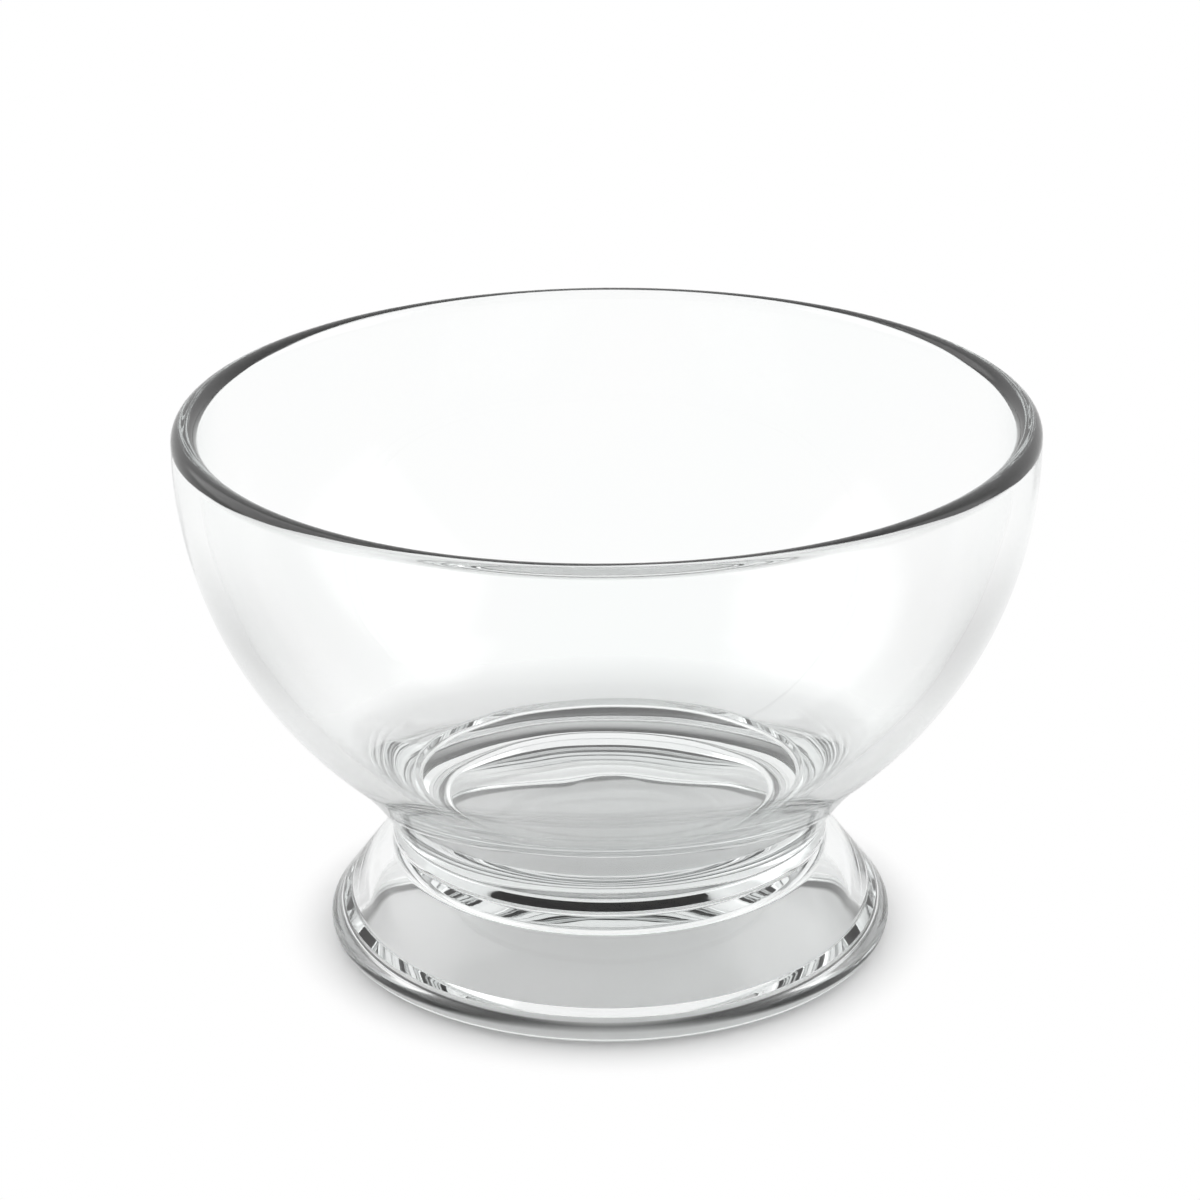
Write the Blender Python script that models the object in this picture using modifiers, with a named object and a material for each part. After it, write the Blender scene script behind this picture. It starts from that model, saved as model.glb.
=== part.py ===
# Footed glass snack bowl, turned about the Z axis.
# Three gathers of clear glass are joined hot: a round bowl, a thin joining wafer and a hollow bell foot.
# Lengths are in metres, +Z is up, and the foot stands on z = 0 with the axis through the origin.

import math

import bpy

# Bowl
RIM_DIAMETER = 0.1200        # widest circle, just under the lip
BOWL_HEIGHT = 0.0613         # weld edge to the top of the lip
LIP_RISE = 0.0032            # top of the lip above the widest circle
WALL = 0.0036                # side wall at the widest circle, and the full round of the lip
FLOOR_THICKNESS = 0.0034     # glass under the middle of the inside
FLOOR_DIAMETER = 0.0248      # level part of the inside
FLOOR_ROUND = 0.0040         # where the floor turns up into the wall
WALL_RISE = math.radians(13.5)   # slope of the inside wall where it leaves the floor
BELLY_DEPTH = 0.0600         # depth of the round side's full curve below the widest circle
SWEEP_HEIGHT = 0.0144        # where the round side starts to sweep in, above the weld edge
WAIST_DIAMETER = 0.0621      # weld edge of the bowl
WAIST_LEAN = math.radians(23)    # lean of the side at the weld edge, from upright
WAIST_ROUND = 0.0003         # rounding of the weld edge

# Joining wafer
WAFER_DIAMETER = 0.0604
WAFER_THICKNESS = 0.0005
SEAT_SAG = 0.0012            # how deep the welded faces are dished in the middle
WELD_GAP = 0.0003            # clearance left at each weld

# Foot
FOOT_DIAMETER = 0.0806       # outermost circle of the bead
FOOT_HEIGHT = 0.0152         # table to the weld edge
SHOULDER_DIAMETER = 0.0622   # top edge of the bell
SHOULDER_ROUND = 0.0005
BEAD_RADIUS = 0.0022         # round edge of the bell
BEAD_LIFT = 0.0004           # underside of the bead above the table
RING_DIAMETER = 0.0760       # outer edge of the flat ring that stands on the table
RING_WIDTH = 0.0014
RING_HEIGHT = 0.0023         # table to the ledge inside the ring
LEDGE_WIDTH = 0.0024         # ledge between the ring and the bell's inner side
LEDGE_RISE = 0.0007          # how much the ledge climbs inwards
LEDGE_ROUND = 0.0010
HOLLOW_HEIGHT = 0.0114       # table to the middle of the ceiling
CEILING_DIAMETER = 0.0551    # where the ceiling turns down into the bell's inner side
CEILING_DROP = 0.0004        # how far the ceiling falls from its middle to its edge
CEILING_ROUND = 0.0025

TURN_STEPS = 64
WALL_STEPS = 16
SWEEP_STEPS = 8
LIP_STEPS = 6
ROUND_STEPS = 4
SEAT_STEPS = 3
ROUND_HANDLE = 0.373         # handle of a cubic curve, as a share of its chord, that keeps it round

GLASS_COLOR = (0.97, 0.99, 0.985, 1.0)
GLASS_ROUGHNESS = 0.02
GLASS_IOR = 1.52


def arc(center, radius, start, end, steps):
    """Points on a circle, from one angle to another."""
    turn = (end - start) / steps
    return [
        (center[0] + radius * math.cos(start + turn * i), center[1] + radius * math.sin(start + turn * i))
        for i in range(steps + 1)
    ]


def oval(center, across, up, start, end, steps):
    """Points on an upright ellipse, from one angle to another."""
    turn = (end - start) / steps
    return [
        (center[0] + across * math.cos(start + turn * i), center[1] + up * math.sin(start + turn * i))
        for i in range(steps + 1)
    ]


def round_curve(start, start_angle, end, end_angle, steps):
    """Points on a nearly round curve that leaves one point and reaches another at given angles."""
    reach = math.dist(start, end) * ROUND_HANDLE
    knots = (
        start,
        (start[0] + reach * math.cos(start_angle), start[1] + reach * math.sin(start_angle)),
        (end[0] - reach * math.cos(end_angle), end[1] - reach * math.sin(end_angle)),
        end,
    )
    points = []
    for i in range(steps + 1):
        t = i / steps
        weights = ((1 - t) ** 3, 3 * t * (1 - t) ** 2, 3 * t * t * (1 - t), t ** 3)
        points.append(tuple(sum(w * k[axis] for w, k in zip(weights, knots)) for axis in (0, 1)))
    return points


def bearing(center, point):
    """Angle of a point seen from a centre."""
    return math.atan2(point[1] - center[1], point[0] - center[0])


def round_corner(before, corner, after, radius, steps):
    """A fillet at a corner, no longer than the sides it lies between."""
    to_before = (before[0] - corner[0], before[1] - corner[1])
    to_after = (after[0] - corner[0], after[1] - corner[1])
    reach_before = math.hypot(*to_before)
    reach_after = math.hypot(*to_after)
    u = (to_before[0] / reach_before, to_before[1] / reach_before)
    v = (to_after[0] / reach_after, to_after[1] / reach_after)
    half = math.acos(u[0] * v[0] + u[1] * v[1]) / 2
    setback = min(radius / math.tan(half), 0.49 * reach_before, 0.49 * reach_after)
    fillet = setback * math.tan(half)
    middle = (u[0] + v[0], u[1] + v[1])
    scale = fillet / math.sin(half) / math.hypot(*middle)
    center = (corner[0] + middle[0] * scale, corner[1] + middle[1] * scale)
    start = math.atan2(corner[1] + u[1] * setback - center[1], corner[0] + u[0] * setback - center[0])
    end = math.atan2(corner[1] + v[1] * setback - center[1], corner[0] + v[0] * setback - center[0])
    sweep = (end - start + math.pi) % (2 * math.pi) - math.pi
    return arc(center, fillet, start, start + sweep, steps)


def dished_face(edge_radius, edge_height):
    """A welded face from its edge in to the axis, sunk by the seat's sag in the middle."""
    radius = (edge_radius ** 2 + SEAT_SAG ** 2) / (2 * SEAT_SAG)
    center = (0.0, edge_height - SEAT_SAG + radius)
    opening = math.asin(edge_radius / radius)
    return arc(center, radius, opening - math.pi / 2, -math.pi / 2, SEAT_STEPS)


def bowl_outline():
    """Half section of the bowl, from the middle of its inside over the lip to the middle of its weld face."""
    equator = BOWL_HEIGHT - LIP_RISE
    outer_radius = RIM_DIAMETER / 2
    inner_radius = outer_radius - WALL
    lip_height = BOWL_HEIGHT - WALL / 2

    floor_middle = (0.0, FLOOR_THICKNESS - SEAT_SAG)
    floor_edge = (FLOOR_DIAMETER / 2, floor_middle[1])
    wall = round_curve(floor_edge, WALL_RISE, (inner_radius, equator), math.pi / 2, WALL_STEPS)
    floor_round = round_corner(floor_middle, floor_edge, wall[1], FLOOR_ROUND, ROUND_STEPS)
    inside = [floor_middle] + floor_round + wall[1:]

    outer_center = (0.0, equator)
    outer_top = math.asin((lip_height - equator) / BELLY_DEPTH)
    lip_outer = outer_radius * math.cos(outer_top)
    lip_center = ((inner_radius + lip_outer) / 2, lip_height)
    lip = arc(lip_center, (lip_outer - inner_radius) / 2, math.pi, 0.0, LIP_STEPS)

    # The reverse curve leaves the round side smoothly and ends at the waist.
    sweep_angle = -math.asin((equator - SWEEP_HEIGHT) / BELLY_DEPTH)
    outside = oval(outer_center, outer_radius, BELLY_DEPTH, outer_top, sweep_angle, WALL_STEPS)
    side_slope = math.atan2(-BELLY_DEPTH * math.cos(sweep_angle), outer_radius * math.sin(sweep_angle))
    waist = (WAIST_DIAMETER / 2, 0.0)
    sweep = round_curve(outside[-1], side_slope, waist, -math.pi / 2 - WAIST_LEAN, SWEEP_STEPS)

    face = dished_face(WAFER_DIAMETER / 2, 0.0)
    edge = round_corner(sweep[-2], waist, face[0], WAIST_ROUND, ROUND_STEPS)
    return inside + lip + outside[1:] + sweep[1:-1] + edge + face


def wafer_outline():
    """Half section of the wafer, a shallow dish of even thickness with a rounded edge."""
    edge_round = WAFER_THICKNESS / 2
    inner_edge = WAFER_DIAMETER / 2 - edge_round
    top = dished_face(inner_edge, WAFER_THICKNESS)
    bottom = dished_face(inner_edge, 0.0)
    edge = arc((inner_edge, edge_round), edge_round, math.pi / 2, -math.pi / 2, ROUND_STEPS)
    return top[::-1] + edge[1:-1] + bottom


def foot_outline():
    """Half section of the foot, from the middle of its weld face down the bell to the hollow's ceiling."""
    face = dished_face(WAFER_DIAMETER / 2, FOOT_HEIGHT)
    shoulder = (SHOULDER_DIAMETER / 2, FOOT_HEIGHT)
    bead_center = (FOOT_DIAMETER / 2 - BEAD_RADIUS, BEAD_RADIUS + BEAD_LIFT)
    ring_edge = (RING_DIAMETER / 2, 0.0)

    # The bead runs between its tangents to the shoulder and to the ring's outer edge.
    to_shoulder = math.acos(BEAD_RADIUS / math.dist(bead_center, shoulder))
    to_ring = math.acos(BEAD_RADIUS / math.dist(bead_center, ring_edge))
    bead_top = bearing(bead_center, shoulder) - to_shoulder
    bead_foot = bearing(bead_center, ring_edge) + to_ring
    bead = arc(bead_center, BEAD_RADIUS, bead_top, bead_foot, LIP_STEPS)
    top_edge = round_corner(face[0], shoulder, bead[0], SHOULDER_ROUND, ROUND_STEPS)

    # Underneath, a ledge runs in from the stand ring to the bell's inner side.
    ring_foot = (ring_edge[0] - RING_WIDTH, 0.0)
    ring_top = (ring_foot[0], RING_HEIGHT)
    ledge = (ring_top[0] - LEDGE_WIDTH, RING_HEIGHT + LEDGE_RISE)
    ceiling_edge = (CEILING_DIAMETER / 2, HOLLOW_HEIGHT - CEILING_DROP)
    ceiling = (0.0, HOLLOW_HEIGHT)
    ring_round = round_corner(ring_foot, ring_top, ledge, LEDGE_ROUND, ROUND_STEPS)
    ledge_round = round_corner(ring_top, ledge, ceiling_edge, LEDGE_ROUND, ROUND_STEPS)
    ceiling_round = round_corner(ledge, ceiling_edge, ceiling, CEILING_ROUND, ROUND_STEPS)
    underside = [ring_edge, ring_foot] + ring_round + ledge_round + ceiling_round + [ceiling]
    return face[::-1] + top_edge + bead + underside


def glass(name):
    """Clear pressed glass with the faint green-blue of its thick places."""
    material = bpy.data.materials.new(name)
    material.use_nodes = True
    shader = material.node_tree.nodes["Principled BSDF"]
    shader.inputs["Base Color"].default_value = GLASS_COLOR
    shader.inputs["Metallic"].default_value = 0.0
    shader.inputs["Roughness"].default_value = GLASS_ROUGHNESS
    shader.inputs["IOR"].default_value = GLASS_IOR
    shader.inputs["Transmission Weight"].default_value = 1.0
    return material


def turned_piece(name, outline, height, collection, parent):
    """Spin a half section about Z and stand it at a height above the table."""
    mesh = bpy.data.meshes.new(name)
    edges = [(i, i + 1) for i in range(len(outline) - 1)]
    mesh.from_pydata([(x, 0.0, z) for x, z in outline], edges, [])
    piece = bpy.data.objects.new(name, mesh)
    piece.location.z = height
    piece.parent = parent
    collection.objects.link(piece)
    mesh.materials.append(glass(name + "_glass"))

    screw = piece.modifiers.new("turn", "SCREW")
    screw.axis = "Z"
    screw.angle = 2 * math.pi
    screw.screw_offset = 0.0
    screw.steps = TURN_STEPS
    screw.render_steps = TURN_STEPS
    screw.use_merge_vertices = True
    screw.merge_threshold = 0.00001
    screw.use_smooth_shade = True
    return piece


def build():
    for old in list(bpy.data.objects):
        bpy.data.objects.remove(old)
    collection = bpy.data.collections.new("footed_snack_bowl")
    bpy.context.scene.collection.children.link(collection)
    base = bpy.data.objects.new("table_center", None)
    collection.objects.link(base)

    wafer_height = FOOT_HEIGHT + WELD_GAP
    bowl_height = wafer_height + WAFER_THICKNESS + WELD_GAP
    turned_piece("foot", foot_outline(), 0.0, collection, base)
    turned_piece("joining_wafer", wafer_outline(), wafer_height, collection, base)
    turned_piece("bowl", bowl_outline(), bowl_height, collection, base)


build()
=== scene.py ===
import math

import bpy
from mathutils import Matrix, Vector


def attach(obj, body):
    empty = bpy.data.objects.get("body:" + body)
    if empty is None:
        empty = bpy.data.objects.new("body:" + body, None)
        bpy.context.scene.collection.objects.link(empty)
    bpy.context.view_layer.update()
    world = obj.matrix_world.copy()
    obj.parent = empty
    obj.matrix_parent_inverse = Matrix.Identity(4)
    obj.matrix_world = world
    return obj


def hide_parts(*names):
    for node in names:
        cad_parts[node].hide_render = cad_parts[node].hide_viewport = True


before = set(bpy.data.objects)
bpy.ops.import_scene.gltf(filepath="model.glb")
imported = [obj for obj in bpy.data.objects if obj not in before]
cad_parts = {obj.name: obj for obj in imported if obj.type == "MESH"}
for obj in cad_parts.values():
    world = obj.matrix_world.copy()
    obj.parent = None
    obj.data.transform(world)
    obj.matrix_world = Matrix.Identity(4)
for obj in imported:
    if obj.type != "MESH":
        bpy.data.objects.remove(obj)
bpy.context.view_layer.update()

mm = 0.001
meshing = {"merge": 0.004 * mm, "sharp": math.radians(40)}


class Outline:  # a half section drawn in the XZ plane from one vertex, then spun about the Z axis
    def __init__(self, name, start):
        bpy.ops.object.select_all(action="DESELECT")
        bpy.ops.mesh.primitive_plane_add(size=1 * mm)
        self.piece = bpy.context.object
        self.piece.name = self.piece.data.name = name
        bpy.ops.object.mode_set(mode="EDIT")
        bpy.ops.mesh.select_all(action="SELECT")
        bpy.ops.mesh.merge(type="CENTER")
        bpy.ops.transform.translate(value=(start[0] * mm, 0, start[1] * mm))
        self.tip = start

    def lineTo(self, point, steps=1):
        step = ((point[0] - self.tip[0]) / steps * mm, 0, (point[1] - self.tip[1]) / steps * mm)
        for _ in range(steps):
            bpy.ops.mesh.extrude_vertices_move(TRANSFORM_OT_translate={"value": step})
        self.tip = point

    def arcAbout(self, center, turn, steps):
        bpy.ops.mesh.spin(
            steps=steps, angle=turn, center=(center[0] * mm, 0, center[1] * mm), axis=(0, 1, 0)
        )
        x, z = self.tip[0] - center[0], self.tip[1] - center[1]
        self.tip = (
            center[0] + x * math.cos(turn) - z * math.sin(turn),
            center[1] + x * math.sin(turn) + z * math.cos(turn),
        )

    def arcTo(self, center, point, steps):  # the short way round
        turn = bearing(center, point) - bearing(center, self.tip)
        self.arcAbout(center, (turn + math.pi) % (2 * math.pi) - math.pi, steps)

    def roundTo(self, corner, after, radius, steps):  # a fillet, then on towards the next point
        u = unit(corner, self.tip)
        v = unit(corner, after)
        half = math.acos(u[0] * v[0] + u[1] * v[1]) / 2
        setback = radius / math.tan(half)
        self.lineTo((corner[0] + u[0] * setback, corner[1] + u[1] * setback))
        reach = radius / math.sin(half) / math.hypot(u[0] + v[0], u[1] + v[1])
        center = (corner[0] + (u[0] + v[0]) * reach, corner[1] + (u[1] + v[1]) * reach)
        self.arcTo(center, (corner[0] + v[0] * setback, corner[1] + v[1] * setback), steps)

    def spinAround(self, steps):
        bpy.ops.mesh.select_all(action="SELECT")
        bpy.ops.mesh.spin(steps=steps, angle=2 * math.pi, center=(0, 0, 0), axis=(0, 0, 1))
        bpy.ops.mesh.select_all(action="SELECT")
        bpy.ops.mesh.remove_doubles(threshold=meshing["merge"])
        bpy.ops.mesh.normals_make_consistent(inside=False)
        bpy.ops.object.mode_set(mode="OBJECT")
        bpy.ops.object.shade_smooth_by_angle(angle=meshing["sharp"])
        return self.piece


def unit(start, end):
    length = math.dist(start, end)
    return (end[0] - start[0]) / length, (end[1] - start[1]) / length


def bearing(center, point):
    return math.atan2(point[1] - center[1], point[0] - center[0])


def pointOn(center, radius, angle):
    return (center[0] + radius * math.cos(angle), center[1] + radius * math.sin(angle))


def circlesMeet(centerA, radiusA, centerB, radiusB):  # the outer one of two crossings
    span = math.dist(centerA, centerB)
    turn = math.acos((radiusA ** 2 - radiusB ** 2 + span ** 2) / (2 * span) / radiusA)
    ahead = bearing(centerA, centerB)
    return max(pointOn(centerA, radiusA, ahead - turn), pointOn(centerA, radiusA, ahead + turn))


def tangentPoint(center, radius, point, side):  # where a line from a point touches a circle
    turn = math.acos(radius / math.dist(center, point))
    return pointOn(center, radius, bearing(center, point) + side * turn)


class Wire:  # a socket that takes part in sums
    def __init__(self, shading, socket):
        self.shading, self.socket = shading, socket

    def sum(self, operation, first, second):
        return self.shading.node("ShaderNodeMath", {"operation": operation}, {0: first, 1: second})

    def __add__(self, other):
        return self.sum("ADD", self, other)

    def __mul__(self, other):
        return self.sum("MULTIPLY", self, other)

    def __truediv__(self, other):
        return self.sum("DIVIDE", self, other)

    def __radd__(self, other):
        return self.sum("ADD", other, self)

    def __rsub__(self, other):
        return self.sum("SUBTRACT", other, self)

    def __rmul__(self, other):
        return self.sum("MULTIPLY", other, self)

    def absolute(self):
        return self.sum("ABSOLUTE", self, 0.0)


class Shading:  # the node tree of a material or of the world
    def __init__(self, owner):
        owner.use_nodes = True
        self.tree = owner.node_tree
        self.tree.nodes.clear()

    def node(self, kind, settings, sockets, out=0):
        made = self.tree.nodes.new(kind)
        for name, value in settings.items():
            setattr(made, name, value)
        for name, value in sockets.items():
            if isinstance(value, Wire):
                self.tree.links.new(value.socket, made.inputs[name])
            else:
                made.inputs[name].default_value = value
        return Wire(self, made.outputs[out]) if len(made.outputs) else made

    def noise(self, place, scale, detail):
        return self.node("ShaderNodeTexNoise", {}, {"Vector": place, "Scale": scale, "Detail": detail})

    def below(self, value, limit):
        return self.node("ShaderNodeMath", {"operation": "LESS_THAN"}, {0: value, 1: limit})

    def ramp(self, value, start, end):  # a smooth rise from 0 to 1
        smooth = {"interpolation_type": "SMOOTHSTEP"}
        return self.node("ShaderNodeMapRange", smooth, {0: value, 1: start, 2: end, 3: 0.0, 4: 1.0})


# camera, fitted to the rim's and the foot's ellipses
photoView = {
    "place": (-0.0011, -0.4971, 0.2477),
    "down": math.radians(21.72),
    "roll": math.radians(-0.5),
    "lens": 114.06,
    "sensor": 36,
}


def setCamera(view):
    bpy.ops.object.camera_add(location=view["place"])
    camera = bpy.context.object
    camera.rotation_mode = "XYZ"
    tilt = Matrix.Rotation(math.pi / 2 - view["down"], 3, "X") @ Matrix.Rotation(view["roll"], 3, "Z")
    camera.rotation_euler = tilt.to_euler()
    camera.data.sensor_width = view["sensor"]
    camera.data.lens = view["lens"]
    bpy.context.scene.camera = camera


setCamera(photoView)
print("camera set")

studio = {
    "paper": 0.97,
    "paperSize": 6.0,
    "paperDrop": 0.05 * mm,  # air left under the rest ring
    "paperGlow": (38.5, 48.0),  # past the foot's own shadow the paper is plain white
    "glassGlow": (50.0, 100.0),  # and through the glass, past the shadow of the whole bowl
    "contact": (33.6, 35.0, 39.5, 42.0),  # painted shade: a ring of the paper under the foot's edge, where little light gets in, is painted dark for rays through the glass
    "contactShade": 0.97,
    "paintedSideShadow": 0.18,  # painted shadow: the lights stand at the sides, so the bowl would shade the paper there; the paper is painted darker there for rays through or off the glass
    "paintedSideShadowStart": (40.0, 110.0),
    "paintedSideShadowEnd": (190.0, 80.0),
    "sky": 1.0,
    "boxes": (
        {"side": -113, "up": 38, "wide": 0.55, "high": 0.42, "soft": 0.12, "glow": 1.0},
        {"side": 94, "up": 33, "wide": 0.43, "high": 0.40, "soft": 0.12, "glow": 1.0},
    ),
}


def makeFloor(look):
    bpy.ops.object.select_all(action="DESELECT")
    bpy.ops.mesh.primitive_plane_add(size=look["paperSize"], location=(0, 0, -look["paperDrop"]))
    floor = bpy.context.object
    floor.name = "floor"
    paper = bpy.data.materials.new("white_paper")
    shading = Shading(paper)

    def along(name):
        return [edge * mm for edge in look[name]]

    place = shading.node("ShaderNodeTexCoord", {}, {}, "Object")
    radius = shading.node("ShaderNodeVectorMath", {"operation": "LENGTH"}, {0: place}, "Value")
    across = shading.node("ShaderNodeSeparateXYZ", {}, {0: place}, "X").absolute()
    direct = shading.node("ShaderNodeLightPath", {}, {}, "Is Camera Ray")
    through = shading.node("ShaderNodeLightPath", {}, {}, "Is Transmission Ray")
    bounced = through + shading.node("ShaderNodeLightPath", {}, {}, "Is Glossy Ray")

    start, full, fade, end = along("contact")
    # painted shade: the paper's colour is darkened in that ring for rays coming through the glass
    under = shading.ramp(radius, start, full) * shading.ramp(radius, end, fade) * through
    # painted shadow: darker paper to the left and right of the bowl, seen only through or in the glass
    side = shading.ramp(across, *along("paintedSideShadowStart")) * shading.ramp(radius, *along("paintedSideShadowEnd")) * bounced
    # the paper's colour and glow both carry the painted shade and painted shadow
    paintedShadeTone = (1 - look["contactShade"] * under) * (1 - look["paintedSideShadow"] * side)
    color = shading.node("ShaderNodeCombineColor", {}, {0: paintedShadeTone, 1: paintedShadeTone, 2: paintedShadeTone})
    scaled = {0: color, "Scale": look["paper"]}
    white = shading.node("ShaderNodeVectorMath", {"operation": "SCALE"}, scaled)
    shaded = shading.node("ShaderNodeBsdfDiffuse", {}, {"Color": white})
    glow = shading.node("ShaderNodeEmission", {}, {"Color": color, "Strength": 1.0})
    lit = direct * shading.ramp(radius, *along("paperGlow"))
    lit = lit + bounced * shading.ramp(radius, *along("glassGlow"))
    share = shading.node("ShaderNodeMath", {"operation": "MINIMUM"}, {0: lit, 1: 1.0})
    shader = shading.node("ShaderNodeMixShader", {}, {0: share, 1: shaded, 2: glow})
    shading.node("ShaderNodeOutputMaterial", {}, {"Surface": shader})
    floor.data.materials.append(paper)


def softbox(shading, around, box):  # a soft-edged window of light, square to its own direction
    side, up = math.radians(box["side"]), math.radians(box["up"])
    facing = Vector((math.sin(side) * math.cos(up), -math.cos(side) * math.cos(up), math.sin(up)))
    across = Vector((math.cos(side), math.sin(side), 0))
    upward = facing.cross(across)

    def along(axis):
        dot = {"operation": "DOT_PRODUCT"}
        return shading.node("ShaderNodeVectorMath", dot, {0: around, 1: axis}, "Value")

    ahead = along(facing)
    mask = shading.ramp(ahead, 0.0, 0.05)  # nothing behind
    for axis, half in ((across, box["wide"]), (upward, box["high"])):
        offset = (along(axis) / ahead).absolute()
        mask = mask * shading.ramp(offset, half + box["soft"], half - box["soft"])
    return mask * box["glow"]


def makeWorld(look):
    world = bpy.data.worlds.new("studio")
    world.cycles.sampling_method = "NONE"  # every ray then meets the world as the kind of ray it is
    bpy.context.scene.world = world
    shading = Shading(world)
    around = shading.node("ShaderNodeTexCoord", {}, {}, "Generated")
    light = look["sky"]
    for box in look["boxes"]:
        light = light + softbox(shading, around, box)
    camera = shading.node("ShaderNodeLightPath", {}, {}, "Is Camera Ray")
    paper = shading.node("ShaderNodeLightPath", {}, {}, "Is Diffuse Ray")
    plain = camera + paper
    glow = light + plain * (1 - light)
    sky = shading.node("ShaderNodeBackground", {}, {"Color": (1, 1, 1, 1), "Strength": glow})
    shading.node("ShaderNodeOutputWorld", {}, {"Surface": sky})


makeFloor(studio)
makeWorld(studio)
print("studio set")

# one melt of clear glass in all three pieces
glassLook = {
    "pale": (0.998, 1.0, 0.999, 1),
    "green": (0.988, 0.998, 0.995, 1),
    "tintScale": 22.0,
    "tintRange": (0.35, 0.65),
    "edge": (0.86, 0.885, 0.88, 1),  # painted shade: glass seen edge on is tinted darker
    "paintedEdgeShadeRise": (0.6, 1.0),
    "ior": 1.52,
    "depth": 4.0,  # how fast the thick places darken, per metre
    "depthTint": (0.10, 0.17, 0.16, 1),
    "polish": (0.0, 0.012),
    "grainScale": 240.0,
    "grainRange": (0.3, 0.7),
    "waveScale": 48.0,  # slow waves left by the mould
    "wave": 0.15 * mm,
    "groundTop": (0.10, 0.22),  # the rest ring is ground dull up to here
    "ground": 0.35,
    "groundDrift": (0.6, 0.8),  # least, and how much the grain adds
}

# the welded faces are dished alike in all three pieces
weld = {
    "radius": 30.55,
    "sag": 1.2,
    "high": 16.0,
    "low": 15.72,
    "apart": 0.02,
    "clearBelow": 0.5,
    "clearAbove": 0.05,
    "steps": 20,
}


def clearGlass(name, look):
    glass = bpy.data.materials.new(name)
    shading = Shading(glass)
    place = shading.node("ShaderNodeTexCoord", {}, {}, "Object")
    flat = shading.node("ShaderNodeVectorMath", {"operation": "MULTIPLY"}, {0: place, 1: (1, 1, 0)})
    radius = shading.node("ShaderNodeVectorMath", {"operation": "LENGTH"}, {0: flat}, "Value")
    height = shading.node("ShaderNodeSeparateXYZ", {}, {0: place}, "Z")

    def blend(factor, first, second):
        return shading.node("ShaderNodeMix", {"data_type": "RGBA"}, {0: factor, 6: first, 7: second}, 2)

    drift = shading.noise(place, look["tintScale"], 3.0)
    facing = shading.node("ShaderNodeLayerWeight", {}, {"Blend": 0.5}, "Facing")
    tint = blend(shading.ramp(drift, *look["tintRange"]), look["pale"], look["green"])
    # painted shade: the tint turns darker where the glass is seen edge on
    tint = blend(shading.ramp(facing, *look["paintedEdgeShadeRise"]), tint, look["edge"])

    grain = shading.noise(place, look["grainScale"], 2.0)
    groundLow, groundHigh = [edge * mm for edge in look["groundTop"]]
    least, spread = look["groundDrift"]
    worn = shading.ramp(height, groundHigh, groundLow) * (least + grain * spread)
    bright, dull = look["polish"]
    rough = bright + shading.ramp(grain, *look["grainRange"]) * (dull - bright) + worn * look["ground"]
    wave = shading.noise(place, look["waveScale"], 1.0)
    waves = {"Height": wave, "Distance": look["wave"], "Strength": 1.0}
    normal = shading.node("ShaderNodeBump", {}, waves)
    clear = shading.node(
        "ShaderNodeBsdfPrincipled",
        {},
        {
            "Base Color": tint,
            "Roughness": rough,
            "IOR": look["ior"],
            "Transmission Weight": 1.0,
            "Normal": normal,
        },
    )
    # where two pieces are welded the glass runs on, so those faces don't show
    inside = shading.below(radius, weld["radius"] * mm)
    bottom = (weld["low"] - weld["sag"] - weld["clearBelow"]) * mm
    top = (weld["high"] + weld["clearAbove"]) * mm
    welded = inside * shading.below(height, top) * shading.below(bottom, height)
    through = shading.node("ShaderNodeBsdfTransparent", {}, {})
    shader = shading.node("ShaderNodeMixShader", {}, {0: welded, 1: clear, 2: through})
    depth = {"Color": look["depthTint"], "Density": look["depth"]}
    deep = shading.node("ShaderNodeVolumeAbsorption", {}, depth)
    shading.node("ShaderNodeOutputMaterial", {}, {"Surface": shader, "Volume": deep})
    return glass


def finishPiece(piece, node):
    piece.data.materials.append(clearGlass(node + "_glass", glassLook))
    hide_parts(node)
    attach(piece, "root")


def dishCenter(height):
    radius = (weld["radius"] ** 2 + weld["sag"] ** 2) / (2 * weld["sag"])
    return (0.0, height - weld["sag"] + radius)


bowl = {
    "rim": 60.0,
    "wall": 3.6,
    "belly": 74.4,
    "top": 77.6,
    "insideCurve": 57.4,
    "floor": 19.2,
    "floorCurve": 800.0,
    "floorRound": 45.0,
    "sweep": 43.3,
    "waist": (31.05, 16.11),
    "band": 1.9,  # upright edge above the weld
    "bandRound": 1.5,
    "waistRound": 0.15,
    "floorSteps": 10,
    "roundSteps": 8,
    "wallSteps": 110,
    "lipSteps": 28,
    "bellySteps": 80,
    "sweepSteps": 40,
    "waistSteps": 6,
    "around": 224,
}


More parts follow.
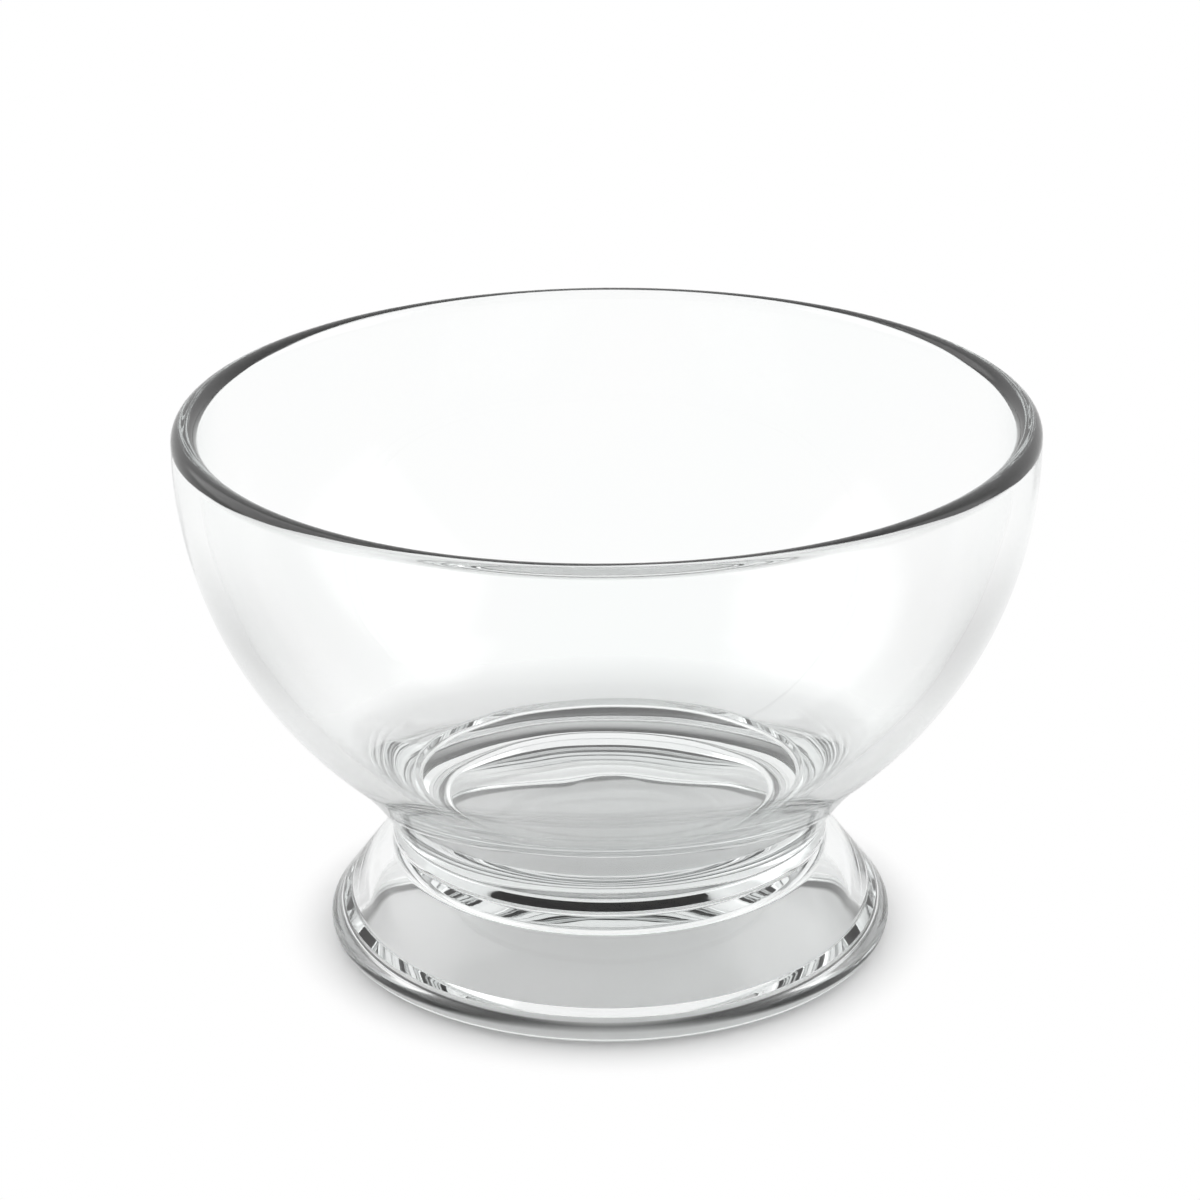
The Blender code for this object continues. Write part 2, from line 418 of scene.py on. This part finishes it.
def makeBowl(size):
    lipMiddle = size["top"] - size["wall"] / 2
    outerCenter = (0.0, size["belly"])
    wallCenter = (size["rim"] - size["wall"] - size["insideCurve"], size["belly"])
    lipRise = lipMiddle - size["belly"]
    lipInside = (wallCenter[0] + math.sqrt(size["insideCurve"] ** 2 - lipRise ** 2), lipMiddle)
    lipOutside = (math.sqrt(size["rim"] ** 2 - lipRise ** 2), lipMiddle)
    lipCenter = ((lipInside[0] + lipOutside[0]) / 2, lipMiddle)

    # inside, a round touches the level floor and the wall
    floorCenter = (0.0, size["floor"] + size["floorCurve"])
    less = size["floorRound"]
    roundCenter = circlesMeet(floorCenter, size["floorCurve"] - less, wallCenter, size["insideCurve"] - less)
    floorEnd = pointOn(roundCenter, less, bearing(floorCenter, roundCenter))
    wallStart = pointOn(roundCenter, less, bearing(wallCenter, roundCenter))

    # outside, the reverse curve touches the belly's circle and ends at the waist
    bandTop = (size["waist"][0], size["waist"][1] + size["band"])
    sweepCenter = circlesMeet(outerCenter, size["rim"] + size["sweep"], bandTop, size["sweep"])
    sweepStart = pointOn(outerCenter, size["rim"], bearing(outerCenter, sweepCenter))
    sweepEnd = bearing(sweepCenter, bandTop) - size["bandRound"] / size["sweep"]
    weldEdge = (weld["radius"], weld["high"])

    line = Outline("bowl_body", (0.0, size["floor"]))
    line.arcTo(floorCenter, floorEnd, size["floorSteps"])
    line.arcTo(roundCenter, wallStart, size["roundSteps"])
    line.arcTo(wallCenter, lipInside, size["wallSteps"])
    line.arcAbout(lipCenter, -math.pi, size["lipSteps"])
    line.arcTo(outerCenter, sweepStart, size["bellySteps"])
    line.arcTo(sweepCenter, pointOn(sweepCenter, size["sweep"], sweepEnd), size["sweepSteps"])
    line.roundTo(bandTop, size["waist"], size["bandRound"], size["roundSteps"])
    line.roundTo(size["waist"], weldEdge, size["waistRound"], size["waistSteps"])
    line.lineTo(weldEdge)
    line.arcTo(dishCenter(weld["high"]), (0.0, weld["high"] - weld["sag"]), weld["steps"])
    piece = line.spinAround(size["around"])
    finishPiece(piece, "bowl")


foot = {
    "edge": 40.3,
    "bead": 2.2,
    "beadHeight": 2.6,
    "ringOuter": (38.0, 0.0),
    "ringInner": (36.6, 0.0),
    "ringRound": 0.4,
    "ringTop": (36.6, 2.3),
    "ringTopRound": 0.8,
    "ledge": (34.2, 3.0),
    "ledgeRound": 1.0,
    "side": (31.23, 7.19),
    "sideRound": 30.0,
    "shoulder": (31.1, 15.61),
    "shoulderRound": 0.45,
    "ceilingEdge": (27.57, 10.81),
    "ceilingRound": 2.5,
    "ceiling": (0.0, 11.2),
    "dome": 974.0,
    "shoulderSteps": 8,
    "bellSteps": 12,
    "beadSteps": 30,
    "domeSteps": 24,
    "around": 224,
}


def makeFoot(size):
    beadCenter = (size["edge"] - size["bead"], size["beadHeight"])
    beadTop = tangentPoint(beadCenter, size["bead"], size["shoulder"], -1)
    beadFoot = tangentPoint(beadCenter, size["bead"], size["ringOuter"], 1)
    corners = (
        ("ringOuter", "ringRound", 6),
        ("ringInner", "ringRound", 6),
        ("ringTop", "ringTopRound", 10),
        ("ledge", "ledgeRound", 8),
        ("side", "sideRound", 8),
        ("ceilingEdge", "ceilingRound", 12),
    )
    line = Outline("foot_body", (0.0, weld["low"] - weld["sag"]))
    line.arcTo(dishCenter(weld["low"]), (weld["radius"], weld["low"]), weld["steps"])
    line.roundTo(size["shoulder"], beadTop, size["shoulderRound"], size["shoulderSteps"])
    line.lineTo(beadTop, size["bellSteps"])
    line.arcTo(beadCenter, beadFoot, size["beadSteps"])
    following = [name for name, rounding, steps in corners[1:]] + ["ceiling"]
    for (name, rounding, steps), after in zip(corners, following):
        line.roundTo(size[name], size[after], size[rounding], steps)
    domeCenter = (0.0, size["ceiling"][1] - size["dome"])
    line.arcTo(domeCenter, size["ceiling"], size["domeSteps"])
    piece = line.spinAround(size["around"])
    finishPiece(piece, "foot")


wafer = {"edgeSteps": 8, "around": 224}


def makeWafer(size):
    high, low = weld["high"] - weld["apart"], weld["low"] + weld["apart"]
    line = Outline("wafer_body", (0.0, high - weld["sag"]))
    line.arcTo(dishCenter(high), (weld["radius"], high), weld["steps"])
    line.arcTo((weld["radius"], (high + low) / 2), (weld["radius"], low), size["edgeSteps"])
    line.arcTo(dishCenter(low), (0.0, low - weld["sag"]), weld["steps"])
    piece = line.spinAround(size["around"])
    finishPiece(piece, "joining_wafer")


makeBowl(bowl)
makeFoot(foot)
makeWafer(wafer)
print("three glass pieces made")

scene = bpy.context.scene
scene.view_settings.view_transform = "Standard"
scene.cycles.max_bounces = 32
scene.cycles.transmission_bounces = 32
scene.cycles.glossy_bounces = 10  # light trapped in the waist and the lip ends here, and they go dark
scene.cycles.transparent_max_bounces = 32
bpy.context.view_layer.update()
